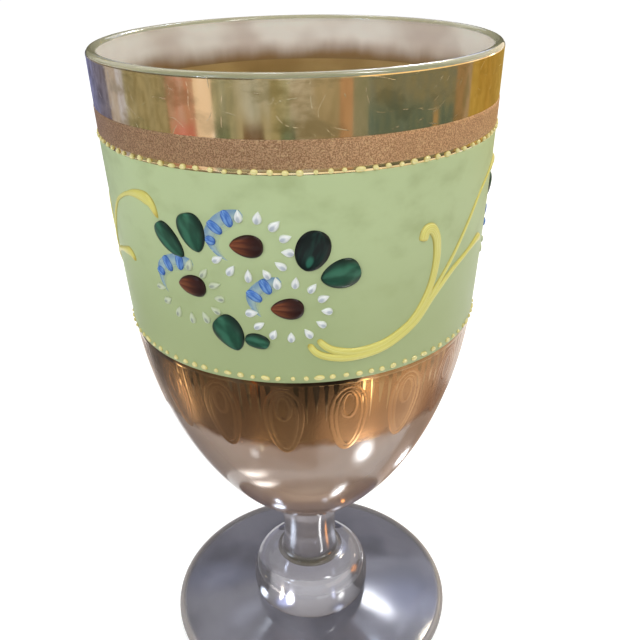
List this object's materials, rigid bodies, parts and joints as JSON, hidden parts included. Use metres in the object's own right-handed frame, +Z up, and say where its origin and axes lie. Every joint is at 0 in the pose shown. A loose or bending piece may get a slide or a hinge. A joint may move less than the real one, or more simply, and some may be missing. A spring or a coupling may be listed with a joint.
{
  "type": "goblet",
  "caption": "Stemmed glass goblet with a gilt rim, a sage enamel band with raised enamel flower sprays and bead rows, and an etched gilt band below.",
  "frame": {"origin": "centre of the foot's underside, on the surface that the goblet stands on", "axes": "+Z up along the stem to the rim; -Y towards the front spray, as the picture shows it; +X to its right"},
  "size_m": [0.0768, 0.0768, 0.14],
  "materials": {
    "clear_glass": "polished, faintly smoky",
    "gilding": "fired gold film, bright, worn and scratched",
    "sand_gilding": "gold over a sanded ground",
    "sage_enamel": "satin enamel",
    "leaf_enamel": "glossy raised enamel",
    "brown_enamel": "glossy raised enamel",
    "white_enamel": "glossy raised enamel",
    "blue_enamel": "glossy raised enamel",
    "yellow_enamel": "glossy raised enamel"
  },
  "bodies": {
    "root": {"foot": "clear_glass", "knop": "clear_glass", "stem": "clear_glass", "bowl": "clear_glass", "rim_gilding": "gilding", "sand_gilt_band": "sand_gilding", "upper_gilt_line": "gilding", "green_enamel_band": "sage_enamel", "lower_gilt_band": "gilding", "upper_bead_row": "yellow_enamel", "lower_bead_row": "yellow_enamel", "spray_1_leaf_1": "leaf_enamel", "spray_1_leaf_2": "leaf_enamel", "spray_1_leaf_3": "leaf_enamel", "spray_1_leaf_4": "leaf_enamel", "spray_1_leaf_5": "leaf_enamel", "spray_1_leaf_6": "leaf_enamel", "spray_1_daisy_1_centre": "brown_enamel", "spray_1_daisy_1_white_petals": "white_enamel", "spray_1_daisy_1_blue_petals": "blue_enamel", "spray_1_daisy_2_centre": "brown_enamel", "spray_1_daisy_2_white_petals": "white_enamel", "spray_1_daisy_2_blue_petals": "blue_enamel", "spray_1_daisy_3_centre": "brown_enamel", "spray_1_daisy_3_white_petals": "white_enamel", "spray_1_daisy_3_blue_petals": "blue_enamel", "spray_1_scroll": "yellow_enamel", "spray_2_leaf_1": "leaf_enamel", "spray_2_leaf_2": "leaf_enamel", "spray_2_leaf_3": "leaf_enamel", "spray_2_leaf_4": "leaf_enamel", "spray_2_leaf_5": "leaf_enamel", "spray_2_leaf_6": "leaf_enamel", "spray_2_daisy_1_centre": "brown_enamel", "spray_2_daisy_1_white_petals": "white_enamel", "spray_2_daisy_1_blue_petals": "blue_enamel", "spray_2_daisy_2_centre": "brown_enamel", "spray_2_daisy_2_white_petals": "white_enamel", "spray_2_daisy_2_blue_petals": "blue_enamel", "spray_2_daisy_3_centre": "brown_enamel", "spray_2_daisy_3_white_petals": "white_enamel", "spray_2_daisy_3_blue_petals": "blue_enamel", "spray_2_scroll": "yellow_enamel", "spray_3_leaf_1": "leaf_enamel", "spray_3_leaf_2": "leaf_enamel", "spray_3_leaf_3": "leaf_enamel", "spray_3_leaf_4": "leaf_enamel", "spray_3_leaf_5": "leaf_enamel", "spray_3_leaf_6": "leaf_enamel", "spray_3_daisy_1_centre": "brown_enamel", "spray_3_daisy_1_white_petals": "white_enamel", "spray_3_daisy_1_blue_petals": "blue_enamel", "spray_3_daisy_2_centre": "brown_enamel", "spray_3_daisy_2_white_petals": "white_enamel", "spray_3_daisy_2_blue_petals": "blue_enamel", "spray_3_daisy_3_centre": "brown_enamel", "spray_3_daisy_3_white_petals": "white_enamel", "spray_3_daisy_3_blue_petals": "blue_enamel", "spray_3_scroll": "yellow_enamel"}
  },
  "joints": []
}
